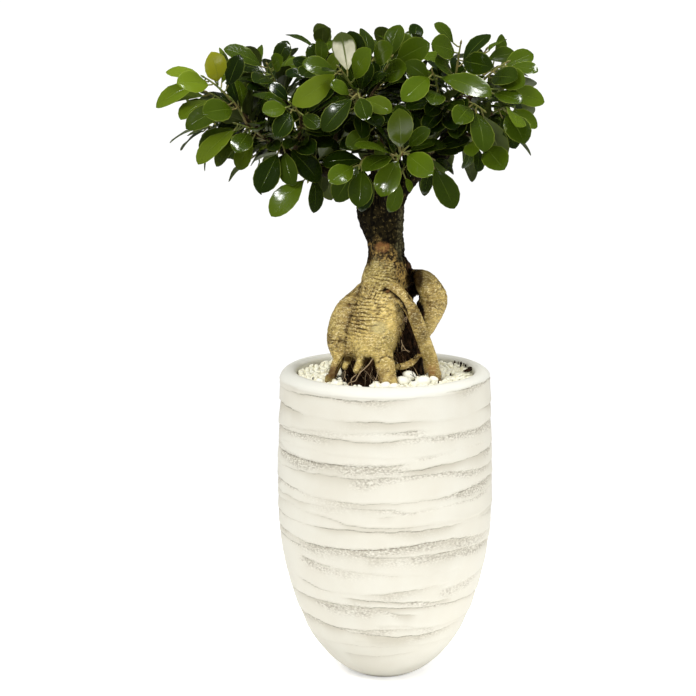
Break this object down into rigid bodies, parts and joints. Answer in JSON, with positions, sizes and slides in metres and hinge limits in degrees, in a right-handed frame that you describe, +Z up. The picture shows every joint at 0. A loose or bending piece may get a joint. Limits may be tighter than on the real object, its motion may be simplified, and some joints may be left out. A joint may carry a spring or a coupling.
{
  "type": "potted ginseng fig",
  "caption": "Bonsai-style ginseng fig with a swollen tan root, spreading leafy crown and pebble top dressing, in a tall off-white ridged stoneware planter.",
  "frame": {"origin": "middle of the planter's flat foot, where it rests on the floor", "axes": "+Z up, -Y towards the front of the picture, +X to the right in the picture"},
  "size_m": [0.4387, 0.3158, 0.7705],
  "materials": {
    "stoneware": "matt off-white slip, smooth bands with gritty beige-grey grooves",
    "soil": "dark crumbly potting soil",
    "pebbles": "rounded matt white and cream pebbles",
    "bark": "smooth wrinkled tan root bark, dark brown higher up the trunk",
    "leaf": "glossy leathery leaves, deep green with lighter young ones"
  },
  "bodies": {
    "root": {"pebbles": "pebbles", "pot": "stoneware", "soil": "soil", "spray_back_hang": "leaf", "spray_back_high": "leaf", "spray_back_left_hang": "leaf", "spray_back_left_high": "leaf", "spray_back_left_low": "leaf", "spray_back_left_tip": "leaf", "spray_back_low": "leaf", "spray_back_mid_left": "leaf", "spray_back_middle": "leaf", "spray_back_right_high": "leaf", "spray_back_right_low": "leaf", "spray_back_right_mid": "leaf", "spray_back_right_tip": "leaf", "spray_back_top": "leaf", "spray_crown": "leaf", "spray_crown_right": "leaf", "spray_drop": "leaf", "spray_face": "leaf", "spray_fan": "leaf", "spray_fan_low": "leaf", "spray_hanging": "leaf", "spray_heart": "leaf", "spray_left_front": "leaf", "spray_left_high": "leaf", "spray_left_low": "leaf", "spray_left_mid": "leaf", "spray_left_side": "leaf", "spray_left_side_low": "leaf", "spray_left_tip": "leaf", "spray_left_tip_low": "leaf", "spray_middle_high": "leaf", "spray_middle_left": "leaf", "spray_right_drop": "leaf", "spray_right_long": "leaf", "spray_right_low": "leaf", "spray_right_mid": "leaf", "spray_right_outer": "leaf", "spray_right_peak": "leaf", "spray_right_side": "leaf", "spray_right_side_high": "leaf", "spray_right_skirt": "leaf", "spray_right_tip": "leaf", "spray_right_top": "leaf", "spray_skirt": "leaf", "spray_top_left": "leaf", "spray_top_right": "leaf", "trunk": "bark"}
  },
  "joints": []
}
